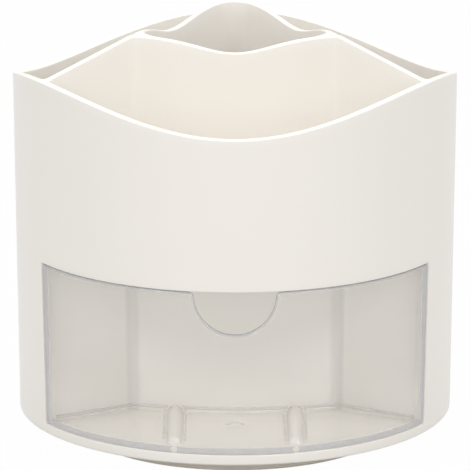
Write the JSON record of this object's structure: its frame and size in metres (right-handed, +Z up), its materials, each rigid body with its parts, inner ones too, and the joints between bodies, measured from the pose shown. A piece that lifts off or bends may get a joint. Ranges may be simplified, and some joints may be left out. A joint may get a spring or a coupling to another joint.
{
  "type": "rotating desk organizer with drawer",
  "caption": "Round plastic desk organizer with wavy-topped pockets round a central pen cup, turning on a ball turntable, with a clear pull-out drawer below.",
  "frame": {"origin": "on the table, under the turning axis", "axes": "+Z up along the turning axis, -Y towards the drawer's front, +X to the right"},
  "size_m": [0.1498, 0.1499, 0.1416],
  "materials": {
    "tub_plastic": "ivory white moulded plastic, semi-gloss",
    "base_plastic": "ivory white moulded plastic, satin",
    "clear_plastic": "clear polished plastic",
    "cage_plastic": "natural matte plastic",
    "ball_steel": "polished bearing steel",
    "screw_steel": "zinc-plated steel",
    "foot_rubber": "grey matte rubber"
  },
  "bodies": {
    "base": {"base_plate": "base_plastic", "foot_1": "foot_rubber", "foot_2": "foot_rubber", "foot_3": "foot_rubber", "foot_4": "foot_rubber"},
    "ball_ring": {"ball_cage": "cage_plastic", "ball_01": "ball_steel", "ball_02": "ball_steel", "ball_03": "ball_steel", "ball_04": "ball_steel", "ball_05": "ball_steel", "ball_06": "ball_steel", "ball_07": "ball_steel", "ball_08": "ball_steel", "ball_09": "ball_steel", "ball_10": "ball_steel", "ball_11": "ball_steel", "ball_12": "ball_steel"},
    "tub": {"body_shell": "tub_plastic", "turntable_plate": "base_plastic", "plate_screws": "screw_steel", "pivot_screw": "screw_steel", "pivot_washer": "screw_steel"},
    "drawer": {"drawer": "clear_plastic"}
  },
  "joints": [
    {"name": "turntable_spin", "type": "hinge", "parent": "base", "child": "tub", "pos_m": [0, 0, 0.009], "axis": [0, 0, 1], "continuous": true},
    {"name": "ball_ring_spin", "type": "hinge", "parent": "base", "child": "ball_ring", "pos_m": [0, 0, 0.005], "axis": [0, 0, 1], "continuous": true},
    {"name": "drawer_slide", "type": "slide", "parent": "tub", "child": "drawer", "axis": [0, -1, 0], "range_m": [0, 0.042]}
  ],
  "couplings": [
    {"joint": "ball_ring_spin", "follows": "turntable_spin", "ratio": 0.5}
  ]
}
